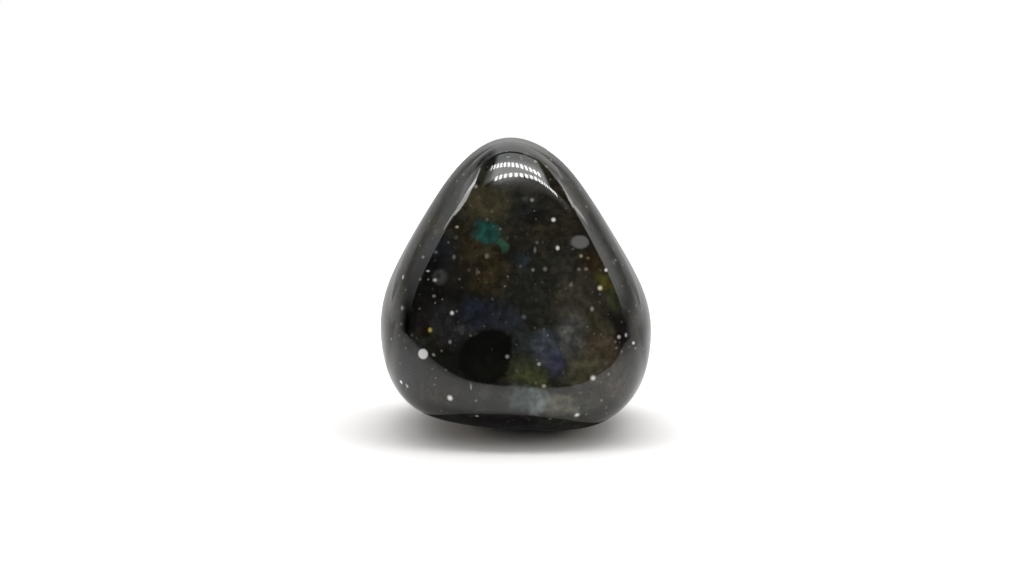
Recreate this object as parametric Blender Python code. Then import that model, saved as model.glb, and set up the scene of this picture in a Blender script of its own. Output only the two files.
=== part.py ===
# A tumbled stone: one dark polished pebble with three soft corners.
# It stands upright on a small flat spot, with its broadest face to the front.
# A rough chip has flat broken faces, and tumbling wears their edges round.
# The solid is made the same way: a set of flat faces, rounded where they meet.
# Frame: +Z up, +X to the right and -Y to the front, with the origin on the
# ground under the middle of the stone. Blender units are metres.

import math

import bmesh
import bpy
import numpy as np

MM = 0.001

# Driving dimensions, in millimetres
MIDDLE = (-0.08, 0.20, 10.9)   # the point inside the stone that its faces are measured from
WEAR = 0.8                     # how far tumbling has worn the edges between the faces
GROUND = 0.0                   # height of the flat spot that the stone rests on

# Fineness of the surface
SPLITS = 5                     # each step turns every triangle into four, from 20 up
LONGEST = 40.0                 # longer than any reach from the middle to the surface
HALVINGS = 40                  # steps that close in on the surface

# The faces of the chip: name, the way each one looks in degrees round from the
# front (right is positive) and up from level, and its distance from the middle
FACES = [
    ("front upper", 0, 40, 11.0),
    ("front", 0, 22, 8.1),
    ("front lower", 0, 8, 8.45),
    ("front left", -16, 12, 8.9),
    ("front right", 16, 12, 8.9),
    ("left bevel", -46, 38, 12.0),
    ("right bevel", 50, 38, 12.8),
    ("left shoulder", -46, 14, 13.0),
    ("right shoulder", 48, 13, 13.2),
    ("left flank", -80, 29, 11.2),
    ("right flank", 84, 30, 10.95),
    ("left edge", -90, 12, 12.4),
    ("right edge", 90, 12, 12.7),
    ("left cheek", -72, -4, 12.6),
    ("right cheek", 74, -4, 12.95),
    ("left side", -90, -8, 12.6),
    ("right side", 90, -8, 12.9),
    ("left corner", -90, -42, 13.2),
    ("right corner", 90, -42, 13.6),
    ("left heel", -90, -66, 12.1),
    ("right heel", 90, -66, 12.6),
    ("left foot", -38, -18, 12.2),
    ("right foot", 40, -22, 12.8),
    ("front foot", 0, -40, 12.9),
    ("front sole", -7, -61, 11.25),
    ("base", -90, -87.5, 11.5),
    ("back", 180, 22, 8.1),
    ("back low", 180, -12, 8.8),
    ("back foot", 180, -48, 11.6),
    ("back left", -135, 2, 11.2),
    ("back right", 135, 2, 11.2),
    ("back left flank", -108, 29, 11.1),
    ("back right flank", 110, 30, 11.0),
    ("back left shoulder", -136, 34, 11.7),
    ("back right shoulder", 136, 34, 11.6),
    ("back top", 180, 52, 13.7),
    ("top", 0, 85, 16.0),
    ("top left", -90, 60, 14.2),
    ("top right", 90, 62, 13.95),
]

STONE_COLOUR = (0.012, 0.012, 0.011, 1.0)
STONE_ROUGHNESS = 0.05


def clear_scene():
    for old in list(bpy.data.objects):
        bpy.data.objects.remove(old, do_unlink=True)


def looks_towards(azimuth, elevation):
    """The direction of a face from its turn round from the front and its tilt up."""
    turn = math.radians(azimuth)
    tilt = math.radians(elevation)
    return (
        math.sin(turn) * math.cos(tilt),
        -math.cos(turn) * math.cos(tilt),
        math.sin(tilt),
    )


def depth_under_faces(points):
    """How far each point is inside (negative) or outside the worn stone, in millimetres.

    A sharp chip would give the largest of the distances past its faces. The log of
    the summed exponentials is that largest value, with the edges rounded by WEAR.
    """
    normals = np.array([looks_towards(azimuth, elevation) for _, azimuth, elevation, _ in FACES])
    distances = np.array([distance for _, _, _, distance in FACES])
    past = (points @ normals.T - distances) / WEAR
    largest = past.max(axis=1)
    return WEAR * (largest + np.log(np.exp(past - largest[:, None]).sum(axis=1)))


def reach(directions):
    """The distance from the middle to the worn surface along each direction."""
    near = np.zeros(len(directions))
    far = np.full(len(directions), LONGEST)
    for _ in range(HALVINGS):
        half = (near + far) / 2
        inside = depth_under_faces(directions * half[:, None]) < 0
        near = np.where(inside, half, near)
        far = np.where(inside, far, half)
    return near


def reach_to_ground(directions):
    """The distance from the middle to the ground along each direction that looks down."""
    drop = MIDDLE[2] - GROUND
    downward = np.minimum(directions[:, 2], -drop / LONGEST)
    return -drop / downward


def stone_material():
    material = bpy.data.materials.new("polished_dark_stone")
    material.use_nodes = True
    shader = material.node_tree.nodes["Principled BSDF"]
    shader.inputs["Base Color"].default_value = STONE_COLOUR
    shader.inputs["Roughness"].default_value = STONE_ROUGHNESS
    shader.inputs["Metallic"].default_value = 0.0
    return material


def make_stone():
    """A ball of even triangles, with every corner moved in or out to the stone's surface."""
    ball = bmesh.new()
    bmesh.ops.create_icosphere(ball, subdivisions=SPLITS, radius=1.0)
    directions = np.array([corner.co[:] for corner in ball.verts])
    directions /= np.linalg.norm(directions, axis=1, keepdims=True)
    lengths = np.minimum(reach(directions), reach_to_ground(directions))
    places = (np.array(MIDDLE) + directions * lengths[:, None]) * MM
    for corner, place in zip(ball.verts, places):
        corner.co = place
    mesh = bpy.data.meshes.new("tumbled_stone")
    ball.to_mesh(mesh)
    ball.free()
    mesh.materials.append(stone_material())
    mesh.shade_smooth()
    stone = bpy.data.objects.new("tumbled_stone", mesh)
    bpy.context.scene.collection.objects.link(stone)
    return stone


clear_scene()
make_stone()
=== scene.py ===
import math

import bmesh
import bpy
import numpy as np
from mathutils import Euler, Matrix, Vector, noise


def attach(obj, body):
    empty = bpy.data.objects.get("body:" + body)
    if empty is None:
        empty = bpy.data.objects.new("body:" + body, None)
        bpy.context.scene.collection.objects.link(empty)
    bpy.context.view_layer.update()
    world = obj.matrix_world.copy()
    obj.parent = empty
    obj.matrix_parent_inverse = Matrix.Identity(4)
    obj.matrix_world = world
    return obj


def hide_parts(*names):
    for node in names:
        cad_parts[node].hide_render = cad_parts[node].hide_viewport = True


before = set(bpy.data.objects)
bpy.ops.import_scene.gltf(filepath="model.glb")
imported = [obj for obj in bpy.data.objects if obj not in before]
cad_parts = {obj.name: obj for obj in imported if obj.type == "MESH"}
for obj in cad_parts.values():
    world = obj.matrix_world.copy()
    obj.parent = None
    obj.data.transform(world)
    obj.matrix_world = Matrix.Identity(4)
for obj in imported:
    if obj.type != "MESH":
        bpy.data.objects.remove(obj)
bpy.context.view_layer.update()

MM = 0.001

# The stone's shape, in millimetres, as the part's own source gives it: flat
# broken faces whose edges a tumbler has worn round.
MIDDLE = Vector((-0.08, 0.20, 10.9))
WEAR = 0.8
GROUND = 0.0
SPLITS = 7
LONGEST = 40.0
HALVINGS = 40
FACES = [
    ("front upper", 0, 40, 11.0),
    ("front", 0, 22, 8.1),
    ("front lower", 0, 8, 8.45),
    ("front left", -16, 12, 8.9),
    ("front right", 16, 12, 8.9),
    ("left bevel", -46, 38, 12.0),
    ("right bevel", 50, 38, 12.8),
    ("left shoulder", -46, 14, 13.0),
    ("right shoulder", 48, 13, 13.2),
    ("left flank", -80, 29, 11.2),
    ("right flank", 84, 30, 10.95),
    ("left edge", -90, 12, 12.4),
    ("right edge", 90, 12, 12.7),
    ("left cheek", -72, -4, 12.6),
    ("right cheek", 74, -4, 12.95),
    ("left side", -90, -8, 12.6),
    ("right side", 90, -8, 12.9),
    ("left corner", -90, -42, 13.2),
    ("right corner", 90, -42, 13.6),
    ("left heel", -90, -66, 12.1),
    ("right heel", 90, -66, 12.6),
    ("left foot", -38, -18, 12.2),
    ("right foot", 40, -22, 12.8),
    ("front foot", 0, -40, 12.9),
    ("front sole", -7, -61, 11.25),
    ("base", -90, -87.5, 11.5),
    ("back", 180, 22, 8.1),
    ("back low", 180, -12, 8.8),
    ("back foot", 180, -48, 11.6),
    ("back left", -135, 2, 11.2),
    ("back right", 135, 2, 11.2),
    ("back left flank", -108, 29, 11.1),
    ("back right flank", 110, 30, 11.0),
    ("back left shoulder", -136, 34, 11.7),
    ("back right shoulder", 136, 34, 11.6),
    ("back top", 180, 52, 13.7),
    ("top", 0, 85, 16.0),
    ("top left", -90, 60, 14.2),
    ("top right", 90, 62, 13.95),
]
# The polished faces aren't quite true: they swell and dip a little
SWELL_HEIGHT = 0.012
SWELL_LENGTH = 4.5

# The camera: a close-up lens a hand's length away, tilted down on the stone
VIEW_TILT = 15.0
VIEW_DISTANCE = 300.0
PHOTO_WIDTH = 1024
PHOTO_HEIGHT = 576
PIXELS_PER_MM = 11.42
SENSOR_WIDTH = 36.0
AIM = Vector((-0.30, 0.20, 12.27))

# The light box that the stone stands in, in millimetres: glowing cloth walls and
# roof, an open front for the lens, and a hatch in the front half of the roof
BOX_HALF_WIDTH = 200.0
BOX_FRONT = -159.0
BOX_BACK = 170.0
BOX_HEIGHT = 236.0
HATCH_BACK = 3.0
HATCH_LEFT_EDGE = [(-112, 3), (-125, -14), (-125, -75), (-134, -110), (-176, -126), (-200, -150)]
HATCH_RIGHT_EDGE = [(84, 3), (104, -25), (131, -64), (172, -92), (182, -130), (200, -150)]
# The floor that the camera sees ends before its light falls off, and the white
# room takes over. The floor in the polish is larger, and its front edge isn't
# straight: its right half is cut back.
FLOOR_SEEN = [(-120, -75), (120, -75), (120, 110), (-120, 110)]
FLOOR_FRONT_EDGE = [(-200, -159), (4, -159), (29, -99), (33, -55), (44, -44), (200, -160)]
FLOOR_LIFT = 0.05
# Painted shade: a near-black sheet under the stone, seen only in the polish,
# stands in for the contact shadow as the polish mirrors it
CONTACT_LIFT = 0.1
CONTACT_HALF_WIDTH = 8.6
CONTACT_HALF_DEPTH = 8.2
CONTACT_SIDES = 64
CONTACT_SHADOW_GLOW = [(0.02, [])]

# How brightly each cloth glows, as a sum. Each line is a strength and the ways it
# fades in: along which axis, from nothing at the first place to all at the second.
# A strength below nothing takes light away, where the cloth is dimmer.
LEFT_CLOTH = [
    (0.30, [("Z", 30, 90)]),
    (0.90, [("Z", 70, 240)]),
    (0.38, [("Y", 100, -10), ("Z", 40, 100)]),
    (1.10, [("Z", 80, 15), ("Y", -130, 0)]),
]
RIGHT_CLOTH = [
    (0.32, [("Z", 30, 90)]),
    (0.85, [("Z", 60, 240)]),
    (1.35, [("Y", 95, -110), ("Z", 40, 100)]),
    (1.15, [("Z", 80, 15), ("Y", -170, -10)]),
]
BACK_CLOTH = [
    (0.50, []),
    (1.70, [("Z", 20, 190), ("X", -150, -40), ("X", 150, 40)]),
]
ROOF_CLOTH = [
    (2.5, []),
    (-1.6, [("X", -60, -110), ("Y", 150, 100), ("Y", -20, 20)]),
    (-0.8, [("X", -56, -80), ("X", -165, -145), ("Y", 85, 60)]),
    (-1.1, [("X", 50, 80), ("Y", 60, 20), ("Y", -20, 5)]),
]
# Painted light: a glowing card, seen only in the polish, stands in for the lit
# floor behind the stone, and is greyer there than the floor straight on
REAR_FLOOR_PAINTED_LIGHT = [
    (0.60, []),
    (0.08, [("Y", 34, 24)]),
    (0.40, [("X", 25, 110), ("Y", 24, 34)]),
    (0.40, [("X", -25, -110), ("Y", 24, 34)]),
]
REAR_CARD_FRONT = 24.0
# Painted shade: how much a clear film dims the floor nearer the lens, as the
# polish mirrors it. The film is seen only in the polish and stands in for shade on the floor.
FLOOR_PAINTED_SHADE = [
    (0.50, [("Y", 2, 15)]),
    (0.32, [("X", 34, 56), ("Y", 14, 0)]),
    (0.22, [("X", -28, -60), ("Y", 6, -22)]),
]

# The lamp board across the hatch: grey, with two rows of lamps, and light that
# spills forward past the front row
BOARD = [(-100, -16), (110, -16), (150, -130), (160, -245), (-90, -245), (-105, -110)]
BOARD_GLOW = [
    (2.6, [("X", -66, -48), ("X", 80, 66), ("Y", -172, -158)]),
    (1.0, [("X", -66, -48), ("X", 80, 66), ("Y", -60, -85), ("Y", -172, -158)]),
    (1.5, [("X", -86, -66), ("X", 76, 60), ("Y", -84, -100), ("Y", -176, -160)]),
    (2.2, [("X", -60, -30), ("X", 30, -20), ("Y", -206, -176), ("Y", -158, -176)]),
    (0.8, [("X", -50, -20), ("X", 165, 120), ("Y", -245, -190), ("Y", -165, -185)]),
]
BOARD_SCREW = [(-25, -47), (-14, -47), (-14, -60), (-25, -60)]
SCREW_GLOW = [(6.0, [])]
# The two rows: the ends of the row's middle line, the length of its lamps from
# front to back, and how many there are
LAMP_ROWS = [
    ("lamps_rear", (-72, -92), (58, -128), 26, 13),
    ("lamps_front", (-46, -166), (42, -164), 18, 9),
    ("lamps_front_end", (42, -166), (96, -188), 18, 8),
]
LAMP_SHARE = 0.5
LAMP_DROP = 1.0
LAMP_GLOW = [
    (9.0, [("X", -100, -60)]),
    (22.0, [("X", -80, -40), ("X", 66, 20)]),
    (19.0, [("X", 20, 50)]),
]
# Bright strips where the hatch's side edges run down into the walls: points and
# half widths, in millimetres
LEFT_STRIP = [(-124, -30, 235, 3), (-124, -56, 235, 5), (-126, -78, 235, 8), (-130, -101, 235, 14),
              (-143, -120, 235, 18), (-158, -145, 235, 26), (-181, -156, 235, 24),
              (-199, -160, 235, 18)]
LEFT_WALL_STRIP = [(-199, -148, 235, 12), (-199, -132, 210, 8), (-199, -122, 186, 4)]
RIGHT_STRIP = [(146, -38, 235, 5), (162, -70, 235, 9), (170, -88, 235, 14), (180, -108, 235, 26),
               (196, -130, 235, 26)]
RIGHT_WALL_STRIP = [(199, -116, 234, 30), (199, -96, 208, 34), (199, -74, 184, 23),
                    (199, -61, 166, 13), (199, -54, 150, 5)]
STRIP_GLOW = [
    (6.5, [("Z", 145, 190)]),
    (6.0, [("Y", -128, -108), ("Y", -76, -96), ("X", 0, -20)]),
]

# Soft lamps that light the floor: name, place in millimetres, turn in degrees, width
# and depth in millimetres, watts and colour. The one overhead draws the front edge
# of the shadow, and the low ones at the sides, a little warm, reach in under the
# stone's overhang.
SOFT_LAMPS = [
    ("roof_lamp", (0, 8, 225), (0, 0, 0), 320, 64, 0.30, "#ffffff"),
    ("left_lamp", (-180, 40, 40), (78, 0, -90), 140, 70, 0.09, "#ffeedd"),
    ("right_lamp", (180, 40, 40), (78, 0, 90), 140, 70, 0.09, "#ffeedd"),
]


def looks_towards(azimuth, elevation):
    """A direction from its turn round from the front and its tilt up, in degrees."""
    turn = math.radians(azimuth)
    tilt = math.radians(elevation)
    return Vector((
        math.sin(turn) * math.cos(tilt),
        -math.cos(turn) * math.cos(tilt),
        math.sin(tilt),
    ))


NORMALS = np.array([looks_towards(azimuth, elevation) for _, azimuth, elevation, _ in FACES])
DISTANCES = np.array([distance for _, _, _, distance in FACES])

TOWARDS_CAMERA = looks_towards(0, VIEW_TILT)
PICTURE_RIGHT = Vector((1, 0, 0))
PICTURE_UP = TOWARDS_CAMERA.cross(PICTURE_RIGHT)
CAMERA_PLACE = AIM + TOWARDS_CAMERA * VIEW_DISTANCE


def depth_under_faces(points):
    """How far points, measured from the middle, are inside (negative) the worn stone."""
    past = (points @ NORMALS.T - DISTANCES) / WEAR
    largest = past.max(axis=1)
    return WEAR * (largest + np.log(np.exp(past - largest[:, None]).sum(axis=1)))


def reach(directions):
    """The distance from the middle to the worn surface along each direction."""
    near = np.zeros(len(directions))
    far = np.full(len(directions), LONGEST)
    for _ in range(HALVINGS):
        half = (near + far) / 2
        inside = depth_under_faces(directions * half[:, None]) < 0
        near = np.where(inside, half, near)
        far = np.where(inside, far, half)
    return near


def reach_to_ground(directions):
    """The distance from the middle to the ground along each direction that looks down."""
    drop = MIDDLE.z - GROUND
    downward = np.minimum(directions[:, 2], -drop / LONGEST)
    return -drop / downward


def seen_at(pixel_x, pixel_y):
    """The point of the stone's surface that the photograph shows at a pixel, in millimetres."""
    across = (pixel_x - PHOTO_WIDTH / 2) / PIXELS_PER_MM
    up = (PHOTO_HEIGHT / 2 - pixel_y) / PIXELS_PER_MM
    through = AIM + PICTURE_RIGHT * across + PICTURE_UP * up
    ray = (through - CAMERA_PLACE).normalized()
    near = 0.0
    far = (MIDDLE - CAMERA_PLACE).dot(ray)
    for _ in range(HALVINGS):
        half = (near + far) / 2
        point = CAMERA_PLACE + ray * half - MIDDLE
        if depth_under_faces(np.array([point]))[0] > 0:
            near = half
        else:
            far = half
    return CAMERA_PLACE + ray * far


# Small helpers for materials

def linear(hex_colour):
    """An sRGB hex colour as linear red, green, blue and alpha."""
    values = [int(hex_colour[i:i + 2], 16) / 255 for i in (1, 3, 5)]
    return tuple(
        v / 12.92 if v <= 0.04045 else ((v + 0.055) / 1.055) ** 2.4 for v in values
    ) + (1.0,)


def add_node(tree, kind, inputs=None, **settings):
    """Adds a node. Settings are its own properties, and inputs are values or links by socket."""
    node = tree.nodes.new(kind)
    for name, value in settings.items():
        setattr(node, name, value)
    for socket, value in (inputs or {}).items():
        if isinstance(value, bpy.types.NodeSocket):
            tree.links.new(value, node.inputs[socket])
        else:
            node.inputs[socket].default_value = value
    return node


def new_material(name):
    material = bpy.data.materials.new(name)
    material.use_nodes = True
    material.node_tree.nodes.clear()
    return material


def place_in_mm(tree):
    """The place on the piece, in millimetres."""
    metres = add_node(tree, "ShaderNodeTexCoord").outputs["Object"]
    return add_node(
        tree, "ShaderNodeVectorMath", {0: metres, "Scale": 1 / MM}, operation="SCALE",
    ).outputs[0]


# The stone's colours

BODY_COLOUR = "#1f201b"

# Large soft clouds of colour that run all round the stone: name, colour, size of
# a cloud in millimetres, the share of the noise that it starts and is full at,
# and how much of it shows
CLOUDS = [
    ("brown", "#2a2214", 4.2, 0.48, 0.66, 0.60),
    ("slate", "#1e242c", 5.0, 0.52, 0.70, 0.60),
    ("grey", "#36342e", 3.6, 0.52, 0.72, 0.50),
    ("black", "#0a0a0a", 3.2, 0.56, 0.68, 0.70),
]

# Patches of the broad front face: name, pixel across and down in the photograph,
# width and height in millimetres, turn in degrees, colour, how much of it shows
# and how soft its edge is, as a share of its size. The two belts at the end are
# painted shade, not the stone's own colour.
PATCHES = [
    ("plain middle", 525, 290, 9.0, 12.0, 0, "#23241e", 0.85, 0.50),
    ("brown field", 481, 261, 4.6, 7.2, 0, "#2e2717", 0.95, 0.45),
    ("brown top", 488, 204, 3.8, 2.8, 0, "#3e3929", 0.88, 0.60),
    ("brown crown", 546, 230, 5.4, 3.4, 0, "#29251a", 0.85, 0.60),
    ("dark crown", 536, 214, 2.2, 1.2, 20, "#121210", 0.80, 0.60),
    ("grey right", 577, 301, 4.0, 6.6, 0, "#3a362d", 0.90, 0.50),
    ("red brown", 594, 262, 1.9, 2.2, 25, "#271f10", 0.90, 0.60),
    ("olive yellow", 603, 283, 1.3, 2.0, 25, "#433e17", 0.95, 0.60),
    ("olive edge", 613, 301, 1.1, 1.8, 25, "#323522", 0.90, 0.60),
    ("brown grey", 594, 322, 3.0, 4.0, 0, "#312d22", 0.90, 0.60),
    ("haze", 575, 341, 2.1, 4.8, 0, "#4d4d4b", 0.90, 0.55),
    ("brown right", 601, 352, 2.8, 3.6, 0, "#463d2f", 0.90, 0.55),
    ("olive brown", 588, 369, 3.8, 2.4, 0, "#4a4736", 0.90, 0.55),
    ("dark right", 621, 333, 1.3, 3.4, 8, "#130e10", 0.90, 0.50),
    ("black left", 424, 281, 2.5, 6.6, -22, "#070707", 0.97, 0.40),
    ("dark left", 453, 280, 2.6, 3.8, -20, "#141310", 0.75, 0.60),
    ("black corner", 409, 316, 1.4, 3.4, -10, "#060606", 0.95, 0.50),
    ("black below", 431, 303, 2.2, 2.8, 0, "#0f0f0f", 0.90, 0.50),
    ("dark shelf", 462, 294, 3.6, 1.3, 0, "#10100f", 0.80, 0.55),
    ("grey veil", 452, 325, 4.0, 3.0, 0, "#202023", 0.85, 0.55),
    ("blue left", 480, 311, 3.4, 2.4, 0, "#1b202b", 0.92, 0.50),
    ("blue low", 505, 321, 2.4, 2.0, 0, "#272b31", 0.90, 0.50),
    ("blue green", 516, 343, 2.4, 2.2, 0, "#252b2a", 0.85, 0.60),
    ("slate", 546, 346, 3.2, 2.8, 0, "#3c4249", 0.92, 0.50),
    ("violet blue", 556, 361, 1.7, 2.2, 0, "#373949", 0.95, 0.55),
    ("grey foot", 519, 364, 2.0, 2.2, 0, "#292a25", 0.80, 0.60),
    ("olive green", 531, 377, 3.0, 2.3, 0, "#3e4229", 0.95, 0.65),
    ("dark left foot", 448, 363, 5.4, 3.0, 22, "#0e0f0a", 0.92, 0.50),
    ("purple", 422, 321, 1.4, 0.9, 0, "#160d18", 0.85, 0.60),
    ("yellow brown", 424, 330, 1.5, 1.2, 0, "#171005", 0.88, 0.60),
    ("small slate", 521, 258, 1.4, 1.6, 0, "#222b2f", 0.85, 0.50),
    ("black lobe", 487, 357, 4.7, 4.9, 0, "#050505", 0.99, 0.10),
    ("lobe flecks", 488, 371, 2.8, 1.8, 0, "#0f100a", 0.85, 0.70),
    ("teal", 487, 232, 2.3, 2.2, 0, "#1f4843", 0.98, 0.36),
    ("teal tail", 499, 244, 0.9, 1.6, 35, "#315444", 0.92, 0.45),
    ("milky", 534, 401, 2.9, 2.1, 0, "#6b7674", 0.95, 0.45),
    ("milky fringe", 521, 399, 2.4, 2.0, 0, "#4c5553", 0.75, 0.60),
    ("pale olive", 563, 406, 3.0, 1.9, 0, "#5e5f50", 0.92, 0.50),
    ("olive heel", 588, 403, 2.8, 1.9, 0, "#333329", 0.85, 0.60),
    ("brown heel", 614, 383, 3.4, 2.4, -35, "#3e3930", 0.85, 0.60),
    # Painted shade: the two belts are dark where the polish mirrors the stone's own contact shadow on
    # the floor
    ("purple painted shade belt", 498, 421, 6.4, 1.3, 0, "#150e0e", 0.97, 0.40),
    ("olive painted shade belt", 577, 422, 4.6, 1.4, 0, "#2b2c24", 0.97, 0.50),
]
PATCH_DEPTH = 3.0

# How far the edges of the patches wander: the size of the wandering and how far it
# goes, in millimetres
BROAD_WANDER = (3.0, 0.9)
FINE_WANDER = (0.9, 0.35)

# The mottling over all of the colours: name, size in millimetres, and how much it
# darkens and lightens. The stone's own grain is finer, and is drawn as seven pixels.
MOTTLES = [
    ("grain", 0.6, 0.62, 1.38),
    ("blotch", 1.3, 0.75, 1.25),
]

# Round spots and the flecks that stand out: name, pixel across and down in the
# photograph, width and height in millimetres, colour and softness of the edge
SPOTS = [
    ("white disc", 423, 354, 0.86, 0.86, "#d9d9d6", 0.22),
    ("grey ellipse", 580, 242, 1.56, 1.12, "#666664", 0.22),
    ("hazy ring", 440, 277, 1.20, 1.20, "#3e3e3e", 0.50),
    ("hazy ring hole", 438, 276, 0.40, 0.44, "#262626", 0.80),
    ("ring fleck", 435, 280, 0.30, 0.26, "#b4b4b4", 0.80),
    ("hazy dot", 461, 329, 0.66, 0.66, "#3a3a3b", 0.70),
    ("side notch", 385, 357, 0.40, 0.90, "#c8c8c4", 0.60),
    ("fleck", 557.6, 248, 0.26, 0.32, "#ecece6", 0.80),
    ("fleck", 553.5, 219.7, 0.30, 0.30, "#f4f4ee", 0.80),
    ("fleck", 600, 288, 0.36, 0.34, "#d6d4b0", 0.80),
    ("fleck", 606, 270, 0.26, 0.26, "#d8d8d4", 0.80),
    ("fleck", 452, 313, 0.28, 0.30, "#dfdfdc", 0.80),
    ("yellow fleck", 430, 330, 0.30, 0.34, "#b8a860", 0.80),
    ("fleck", 450, 398, 0.40, 0.42, "#ecece8", 0.80),
    ("fleck", 593, 378, 0.38, 0.36, "#e4e4dc", 0.80),
    ("fleck", 577, 415, 0.36, 0.36, "#ecece8", 0.80),
    ("fleck", 401, 382, 0.34, 0.30, "#e6e6e6", 0.80),
    ("fleck", 407, 386, 0.24, 0.36, "#b8b8b8", 0.80),
    ("fleck", 477, 416, 0.26, 0.34, "#a4a4a4", 0.80),
    ("fleck", 471, 387, 0.14, 0.60, "#8a8a8a", 0.80),
    ("fleck", 539, 364, 0.28, 0.28, "#b0b0a8", 0.80),
    ("fleck", 544, 386, 0.30, 0.26, "#a8a89c", 0.80),
    ("fleck", 633.5, 343, 0.30, 0.24, "#d0d0d0", 0.80),
    ("fleck", 619, 337, 0.28, 0.28, "#b8a8b0", 0.80),
    ("fleck", 626, 335, 0.22, 0.30, "#a8a8a8", 0.80),
    ("fleck", 532, 200, 0.28, 0.28, "#8c8c88", 0.80),
    ("fleck", 545, 269, 0.30, 0.34, "#74746c", 0.80),
    ("fleck", 533, 270, 0.24, 0.24, "#80807a", 0.80),
    ("fleck", 487, 256, 0.34, 0.40, "#6e6e5c", 0.80),
    ("fleck", 535, 250, 0.20, 0.44, "#70706c", 0.80),
    ("fleck", 581, 256, 0.24, 0.26, "#9c9c80", 0.80),
    ("fleck", 586, 269, 0.30, 0.24, "#7c7460", 0.80),
    ("fleck", 588, 258, 0.26, 0.22, "#6c5c48", 0.80),
    ("fleck", 571, 285, 0.30, 0.30, "#6c6a60", 0.80),
    ("fleck", 592, 309, 0.30, 0.36, "#8c8878", 0.80),
    ("fleck", 524, 317, 0.34, 0.34, "#545a62", 0.80),
    ("fleck", 403, 277, 0.26, 0.34, "#a8a8a8", 0.80),
    ("fleck", 402, 308, 0.24, 0.34, "#909090", 0.80),
    ("fleck", 423, 257, 0.28, 0.22, "#7c7c7c", 0.80),
    ("fleck", 454, 257, 0.26, 0.34, "#6c6860", 0.80),
    ("fleck", 436, 252, 0.30, 0.24, "#60605e", 0.80),
    ("fleck", 428, 271, 0.30, 0.16, "#b0b0b0", 0.80),
    ("fleck", 434, 296, 0.28, 0.22, "#747474", 0.80),
    ("fleck", 450, 342, 0.24, 0.28, "#888888", 0.80),
    ("fleck", 457, 227, 0.26, 0.20, "#a8a090", 0.80),
    ("fleck", 412, 335, 0.22, 0.22, "#484848", 0.80),
    ("fleck", 477, 272, 0.22, 0.50, "#5c5048", 0.80),
    ("fleck", 469, 270, 0.26, 0.30, "#4c4038", 0.80),
    ("fleck", 568, 339, 0.40, 0.50, "#565a5a", 0.80),
]

# Fleck layers that run all round, worked out from grain to grain: name, spacing
# and radius in millimetres, share of the grains that shows, and colour. The dust
# is finer in the real stone, and is drawn at two pixels across so that it shows.
FLECK_LAYERS = [
    ("blurs", 1.50, 0.34, 0.50, "#4a4a46"),
    ("dust", 0.62, 0.15, 0.60, "#74736b"),
    ("grains", 1.25, 0.18, 0.60, "#96948c"),
    ("sparks", 3.40, 0.20, 0.50, "#d4d4cc"),
]

# How far each seed moves a pattern away from the others, in millimetres
NOISE_STEP = Vector((17.3, -9.1, 5.7))
FLECK_STEP = Vector((3.1, 7.7, 1.9))

# The sockets of a Mix node that lays one colour over another
MIX_SHARE, MIX_BELOW, MIX_ABOVE, MIX_RESULT = 0, 6, 7, 2


def wandering(tree, place, size, amount, seed):
    """The place pushed about by noise, so that a patch's edge wanders as a mineral's does."""
    moved = add_node(
        tree, "ShaderNodeVectorMath", {0: place, 1: NOISE_STEP * seed}, operation="ADD",
    )
    push = add_node(
        tree, "ShaderNodeTexNoise",
        {"Vector": moved.outputs[0], "Scale": 1 / size, "Detail": 2.0, "Roughness": 0.55},
    )
    centred = add_node(
        tree, "ShaderNodeVectorMath", {0: push.outputs["Color"], 1: (0.5, 0.5, 0.5)},
        operation="SUBTRACT",
    )
    return add_node(
        tree, "ShaderNodeVectorMath",
        {0: centred.outputs[0], 1: (amount * 2,) * 3, 2: place}, operation="MULTIPLY_ADD",
    ).outputs[0]


def cloud_share(tree, place, size, seed, start, full, low, high):
    """Soft lumps about size millimetres across, between low and high."""
    moved = add_node(
        tree, "ShaderNodeVectorMath", {0: place, 1: NOISE_STEP * seed}, operation="ADD",
    )
    lumps = add_node(
        tree, "ShaderNodeTexNoise",
        {"Vector": moved.outputs[0], "Scale": 1 / size, "Detail": 3.0, "Roughness": 0.55},
    )
    return add_node(
        tree, "ShaderNodeMapRange",
        {"Value": lumps.outputs["Fac"], "From Min": start, "From Max": full,
         "To Min": low, "To Max": high},
        interpolation_type="SMOOTHSTEP",
    ).outputs["Result"]


def patch_share(tree, place, centre, width, height, turn, softness, depth, shown):
    """As much as is shown inside an ellipse that faces the camera, and none past its edge."""
    facing = Matrix((PICTURE_RIGHT, PICTURE_UP, TOWARDS_CAMERA)).transposed()
    rotation = (facing @ Matrix.Rotation(math.radians(turn), 3, "Z")).to_euler()
    local = add_node(
        tree, "ShaderNodeMapping",
        {"Vector": place, "Location": centre, "Rotation": rotation,
         "Scale": (width / 2, height / 2, depth)},
        vector_type="TEXTURE",
    )
    away = add_node(
        tree, "ShaderNodeVectorMath", {0: local.outputs[0]}, operation="LENGTH",
    )
    return add_node(
        tree, "ShaderNodeMapRange",
        {"Value": away.outputs["Value"], "From Min": 1 + softness, "From Max": 1 - softness,
         "To Min": 0.0, "To Max": shown},
        interpolation_type="SMOOTHSTEP",
    ).outputs["Result"]


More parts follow.
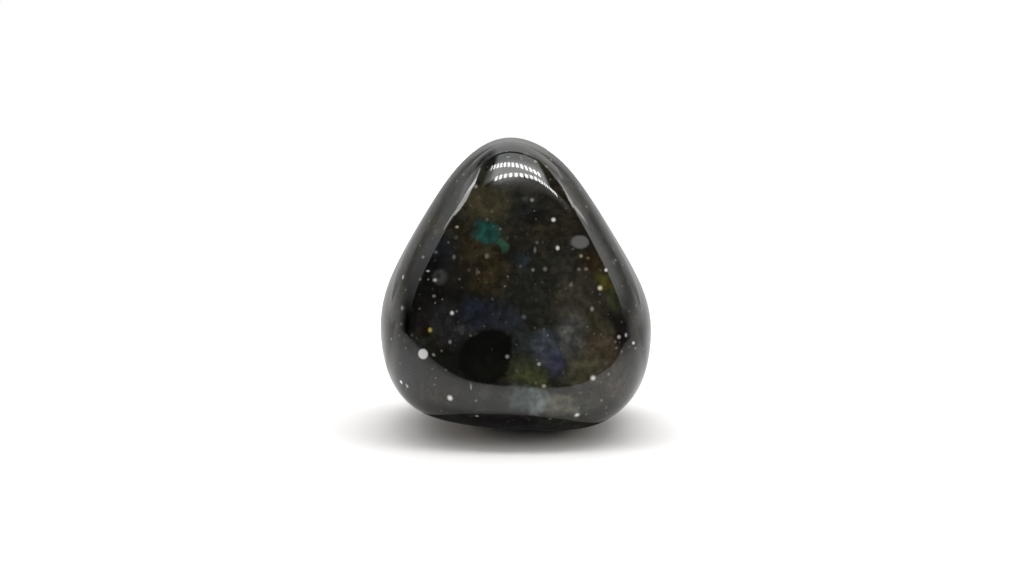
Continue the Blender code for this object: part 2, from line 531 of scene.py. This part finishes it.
def fleck_share(tree, place, spacing, radius, shown, seed):
    """Small round grains at random places, each with its own brightness and size."""
    moved = add_node(
        tree, "ShaderNodeVectorMath", {0: place, 1: FLECK_STEP * seed}, operation="ADD",
    )
    grains = add_node(
        tree, "ShaderNodeTexVoronoi", {"Vector": moved.outputs[0], "Scale": 1 / spacing},
        voronoi_dimensions="3D", feature="F1",
    )
    random = add_node(tree, "ShaderNodeSeparateColor", {"Color": grains.outputs["Color"]})
    reach_of_grain = add_node(
        tree, "ShaderNodeMath",
        {0: random.outputs["Green"], 1: radius / spacing, 2: radius / spacing * 0.5},
        operation="MULTIPLY_ADD",
    )
    dot = add_node(
        tree, "ShaderNodeMapRange",
        {"Value": grains.outputs["Distance"], "From Min": reach_of_grain.outputs[0], "From Max": 0.0},
        interpolation_type="SMOOTHSTEP",
    )
    bright = add_node(
        tree, "ShaderNodeMapRange",
        {"Value": random.outputs["Red"], "From Min": 1 - shown, "From Max": 1.0},
        interpolation_type="SMOOTHSTEP",
    )
    return add_node(
        tree, "ShaderNodeMath", {0: dot.outputs["Result"], 1: bright.outputs["Result"]},
        operation="MULTIPLY",
    ).outputs[0]


def polished_stone():
    """A near-black jasper or agate, tumbled to a gloss polish.

    Quartz bends light by about 1.54, so it mirrors under a twentieth of what faces
    it and nearly all of it at its rim. Under the polish the eye finds faint brown,
    olive, blue and teal clouds, and pale grains from dust to half a millimetre.
    """
    material = new_material("polished_stone")
    tree = material.node_tree
    place = place_in_mm(tree)
    broad = wandering(tree, place, *BROAD_WANDER, 1)
    fine = wandering(tree, broad, *FINE_WANDER, 2)

    colour = linear(BODY_COLOUR)
    for number, (_, shade, size, start, full, shown) in enumerate(CLOUDS):
        share = cloud_share(tree, broad, size, 3 + number, start, full, 0.0, shown)
        colour = add_node(
            tree, "ShaderNodeMix", {MIX_SHARE: share, MIX_BELOW: colour, MIX_ABOVE: linear(shade)},
            data_type="RGBA",
        ).outputs[MIX_RESULT]
    for _, x, y, width, height, turn, shade, shown, softness in PATCHES:
        share = patch_share(
            tree, fine, seen_at(x, y), width, height, turn, softness, PATCH_DEPTH, shown,
        )
        colour = add_node(
            tree, "ShaderNodeMix", {MIX_SHARE: share, MIX_BELOW: colour, MIX_ABOVE: linear(shade)},
            data_type="RGBA",
        ).outputs[MIX_RESULT]

    for number, (_, size, darkest, palest) in enumerate(MOTTLES):
        mottle = cloud_share(tree, place, size, 12 + number, 0.3, 0.7, darkest, palest)
        colour = add_node(
            tree, "ShaderNodeVectorMath", {0: colour, "Scale": mottle}, operation="SCALE",
        ).outputs[0]

    for number, (_, spacing, radius, shown, shade) in enumerate(FLECK_LAYERS):
        share = fleck_share(tree, place, spacing, radius, shown, 20 + number)
        colour = add_node(
            tree, "ShaderNodeMix", {MIX_SHARE: share, MIX_BELOW: colour, MIX_ABOVE: linear(shade)},
            data_type="RGBA",
        ).outputs[MIX_RESULT]
    for _, x, y, width, height, shade, softness in SPOTS:
        depth = min(width, height) / 2
        share = patch_share(tree, place, seen_at(x, y), width, height, 0, softness, depth, 1.0)
        colour = add_node(
            tree, "ShaderNodeMix", {MIX_SHARE: share, MIX_BELOW: colour, MIX_ABOVE: linear(shade)},
            data_type="RGBA",
        ).outputs[MIX_RESULT]

    shader = add_node(
        tree, "ShaderNodeBsdfPrincipled",
        {"Base Color": colour, "Roughness": 0.05, "IOR": 1.54, "Metallic": 0.0},
    )
    add_node(tree, "ShaderNodeOutputMaterial", {"Surface": shader.outputs[0]})
    return material


def make_stone():
    """An even ball of fine triangles, with every corner moved to the stone's surface."""
    ball = bmesh.new()
    bmesh.ops.create_icosphere(ball, subdivisions=SPLITS, radius=1.0)
    directions = np.array([corner.co[:] for corner in ball.verts])
    directions /= np.linalg.norm(directions, axis=1, keepdims=True)
    lengths = reach(directions)
    swell = np.array([
        noise.noise(Vector(direction) * length / SWELL_LENGTH)
        for direction, length in zip(directions, lengths)
    ])
    lengths = np.minimum(lengths + swell * SWELL_HEIGHT, reach_to_ground(directions))
    places = (np.array(MIDDLE) + directions * lengths[:, None]) * MM
    for corner, place in zip(ball.verts, places):
        corner.co = place
    mesh = bpy.data.meshes.new("polished_stone_surface")
    ball.to_mesh(mesh)
    ball.free()
    mesh.materials.append(polished_stone())
    mesh.shade_smooth()
    stone = bpy.data.objects.new("polished_stone_surface", mesh)
    bpy.context.scene.collection.objects.link(stone)
    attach(stone, "root")
    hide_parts("tumbled_stone")
    return stone


# The stage: a pale floor in a white light box with an open front

def flat_sheet(name, faces, material):
    """A stage sheet from its flat faces, each a list of corners in millimetres."""
    corners = [Vector(corner) * MM for face in faces for corner in face]
    indices = []
    for face in faces:
        first = sum(len(row) for row in indices)
        indices.append(list(range(first, first + len(face))))
    mesh = bpy.data.meshes.new(name)
    mesh.from_pydata(corners, [], indices)
    mesh.materials.append(material)
    sheet = bpy.data.objects.new(name, mesh)
    bpy.context.scene.collection.objects.link(sheet)
    return sheet


def summed_fades(tree, terms):
    """The sum of the terms at each place, each one a strength times its fades."""
    total = sum(strength for strength, fades in terms if not fades)
    uneven = [term for term in terms if term[1]]
    if not uneven:
        return total
    along = add_node(tree, "ShaderNodeSeparateXYZ", {"Vector": place_in_mm(tree)}).outputs
    for strength, fades in uneven:
        share = strength
        for axis, nothing, full in fades:
            share = add_node(
                tree, "ShaderNodeMapRange",
                {"Value": along[axis], "From Min": nothing, "From Max": full, "To Max": share},
                interpolation_type="SMOOTHSTEP",
            ).outputs["Result"]
        total = add_node(tree, "ShaderNodeMath", {0: total, 1: share}, operation="ADD").outputs[0]
    return total


def glowing_cloth(name, terms):
    """White cloth lit from outside or behind, brighter in some places than others. It also makes the
    lamps, and the cards seen only in the polish: painted light of the floor behind the stone, and
    painted shade of the contact shadow.
    """
    material = new_material(name)
    tree = material.node_tree
    light = add_node(
        tree, "ShaderNodeEmission",
        {"Color": linear("#ffffff"), "Strength": summed_fades(tree, terms)},
    )
    add_node(tree, "ShaderNodeOutputMaterial", {"Surface": light.outputs[0]})
    return material


def painted_shade_film(name, terms):
    """Painted shade: a clear grey film, darker in some places than others. It dims what lies under it,
    standing in for shade on the floor as the polish mirrors it.
    """
    material = new_material(name)
    tree = material.node_tree
    let_through = add_node(
        tree, "ShaderNodeMath", {0: 1.0, 1: summed_fades(tree, terms)}, operation="SUBTRACT",
    )
    shader = add_node(tree, "ShaderNodeBsdfTransparent", {"Color": let_through.outputs[0]})
    add_node(tree, "ShaderNodeOutputMaterial", {"Surface": shader.outputs[0]})
    return material


def white_card():
    """Matt white card: plain, pale and without shine."""
    material = new_material("white_card")
    tree = material.node_tree
    shader = add_node(
        tree, "ShaderNodeBsdfPrincipled",
        {"Base Color": linear("#f2f2f2"), "Roughness": 0.9, "Specular IOR Level": 0.1},
    )
    add_node(tree, "ShaderNodeOutputMaterial", {"Surface": shader.outputs[0]})
    return material


def show_to_camera_only(thing):
    thing.visible_glossy = False
    thing.visible_diffuse = False
    thing.visible_shadow = False


def hide_from_camera(thing, only_in_polish=False):
    """Leaves a sheet to be mirrored and to give light, or only to be mirrored in the polish."""
    thing.visible_camera = False
    thing.visible_diffuse = not only_in_polish
    thing.visible_shadow = False


def make_floor():
    wide, back, front = BOX_HALF_WIDTH, BOX_BACK, REAR_CARD_FRONT
    floor = flat_sheet("floor", [[(x, y, GROUND) for x, y in FLOOR_SEEN]], white_card())
    show_to_camera_only(floor)
    whole = FLOOR_FRONT_EDGE + [(wide, back), (-wide, back)]
    mirrored = flat_sheet("mirrored_floor", [[(x, y, -FLOOR_LIFT) for x, y in whole]], white_card())
    hide_from_camera(mirrored)
    # The rear card is painted light: a glowing stand-in for the lit floor behind the stone
    corners = [(-wide, front), (wide, front), (wide, back), (-wide, back)]
    rear_sheet = flat_sheet(
        "rear_floor_painted_light", [[(x, y, FLOOR_LIFT) for x, y in corners]], glowing_cloth("rear_floor_painted_light", REAR_FLOOR_PAINTED_LIGHT),
    )
    hide_from_camera(rear_sheet, only_in_polish=True)
    # The film is painted shade on the floor, seen only in the polish
    outline = FLOOR_FRONT_EDGE + [(wide, front), (-wide, front)]
    shade_sheet = flat_sheet(
        "floor_painted_shade", [[(x, y, FLOOR_LIFT) for x, y in outline]], painted_shade_film("floor_painted_shade", FLOOR_PAINTED_SHADE),
    )
    hide_from_camera(shade_sheet, only_in_polish=True)
    # The contact card is painted shade: a near-black stand-in for the contact shadow
    ring = []
    for number in range(CONTACT_SIDES):
        turn = number / CONTACT_SIDES * 2 * math.pi
        x = CONTACT_HALF_WIDTH * math.cos(turn)
        y = CONTACT_HALF_DEPTH * math.sin(turn)
        ring.append((x, y, CONTACT_LIFT))
    contact = flat_sheet("contact_shadow_card", [ring], glowing_cloth("contact_shadow_card", CONTACT_SHADOW_GLOW))
    hide_from_camera(contact, only_in_polish=True)


def make_light_box():
    wide, front, back, top = BOX_HALF_WIDTH, BOX_FRONT, BOX_BACK, BOX_HEIGHT
    roof = [(-wide, HATCH_BACK, top), (wide, HATCH_BACK, top), (wide, back, top), (-wide, back, top)]
    roof_left = [(x, y, top) for x, y in HATCH_LEFT_EDGE] + [(-wide, HATCH_BACK, top)]
    roof_right = [(x, y, top) for x, y in HATCH_RIGHT_EDGE] + [(wide, HATCH_BACK, top)]
    left = [(-wide, front, 0), (-wide, back, 0), (-wide, back, top), (-wide, front, top)]
    right = [(wide, front, 0), (wide, back, 0), (wide, back, top), (wide, front, top)]
    rear = [(-wide, back, 0), (wide, back, 0), (wide, back, top), (-wide, back, top)]
    for name, faces, terms in (
        ("box_roof", [roof, roof_left, roof_right], ROOF_CLOTH),
        ("box_left", [left], LEFT_CLOTH),
        ("box_right", [right], RIGHT_CLOTH),
        ("box_back", [rear], BACK_CLOTH),
    ):
        hide_from_camera(flat_sheet(name, faces, glowing_cloth(name, terms)))


def lamp_faces(start, end, length, count):
    """The flat faces of a row of lamps, from the ends of its middle line."""
    height = BOX_HEIGHT - LAMP_DROP
    first = Vector((*start, height))
    step = (Vector((*end, height)) - first) / count
    along = step * LAMP_SHARE / 2
    across = Vector((0, length / 2, 0))
    faces = []
    for number in range(count):
        middle = first + step * (number + 0.5)
        faces.append([
            middle - along - across, middle + along - across,
            middle + along + across, middle - along + across,
        ])
    return faces


def strip_faces(points, across):
    """Flat faces along a line of (x, y, z, half width) points, widened along one axis."""
    faces = []
    for here, there in zip(points, points[1:]):
        near = Vector(here[:3])
        far = Vector(there[:3])
        faces.append([
            near - across * here[3], far - across * there[3],
            far + across * there[3], near + across * here[3],
        ])
    return faces


def add_lamps():
    """The lamp board and the bright strips. They show in the polish and nowhere else."""
    outward_left = Vector((0.6, -0.8, 0))
    outward_right = Vector((0.6, 0.8, 0))
    forward = Vector((0, 1, 0))
    forward_down = Vector((0, 0.9, -0.43))
    board = [[(x, y, BOX_HEIGHT) for x, y in BOARD]]
    screw = [[(x, y, BOX_HEIGHT - LAMP_DROP) for x, y in BOARD_SCREW]]
    sheets = [("board", board, BOARD_GLOW), ("board_screw", screw, SCREW_GLOW)]
    for name, start, end, length, count in LAMP_ROWS:
        sheets.append((name, lamp_faces(start, end, length, count), LAMP_GLOW))
    for name, points, across in (
        ("left_strip", LEFT_STRIP, outward_left),
        ("left_wall_strip", LEFT_WALL_STRIP, forward),
        ("right_strip", RIGHT_STRIP, outward_right),
        ("right_wall_strip", RIGHT_WALL_STRIP, forward_down),
    ):
        sheets.append((name, strip_faces(points, across), STRIP_GLOW))
    for name, faces, terms in sheets:
        hide_from_camera(flat_sheet(name, faces, glowing_cloth(name, terms)), only_in_polish=True)


def add_soft_lamp(name, place, turn, width, depth, watts, colour):
    """A soft square-cut lamp that lights the scene and isn't mirrored in the polish."""
    data = bpy.data.lights.new(name, "AREA")
    data.shape = "RECTANGLE"
    data.size = width * MM
    data.size_y = depth * MM
    data.energy = watts
    data.color = linear(colour)[:3]
    lamp = bpy.data.objects.new(name, data)
    lamp.location = Vector(place) * MM
    lamp.rotation_euler = Euler([math.radians(angle) for angle in turn])
    bpy.context.scene.collection.objects.link(lamp)
    lamp.visible_camera = False
    lamp.visible_glossy = False


def make_room():
    """Seen straight on the room is white. In the polish it is dark, beyond the open front."""
    world = bpy.data.worlds.new("room")
    bpy.context.scene.world = world
    world.use_nodes = True
    tree = world.node_tree
    tree.nodes.clear()
    path = add_node(tree, "ShaderNodeLightPath")
    dark = add_node(tree, "ShaderNodeBackground", {"Color": linear("#484644"), "Strength": 1.0})
    pale = add_node(tree, "ShaderNodeBackground", {"Color": linear("#ffffff"), "Strength": 1.0})
    either = add_node(
        tree, "ShaderNodeMixShader",
        {0: path.outputs["Is Camera Ray"], 1: dark.outputs[0], 2: pale.outputs[0]},
    )
    add_node(tree, "ShaderNodeOutputWorld", {"Surface": either.outputs[0]})


def add_camera():
    data = bpy.data.cameras.new("camera")
    data.sensor_width = SENSOR_WIDTH
    data.lens = VIEW_DISTANCE * SENSOR_WIDTH * PIXELS_PER_MM / PHOTO_WIDTH
    data.clip_start = 0.01
    data.clip_end = 10
    camera = bpy.data.objects.new("camera", data)
    camera.location = CAMERA_PLACE * MM
    camera.rotation_euler = Euler((math.radians(90 - VIEW_TILT), 0, 0))
    bpy.context.scene.collection.objects.link(camera)
    bpy.context.scene.camera = camera


add_camera()
make_stone()
make_floor()
make_light_box()
add_lamps()
for lamp in SOFT_LAMPS:
    add_soft_lamp(*lamp)
make_room()
bpy.context.scene.view_settings.view_transform = "Standard"
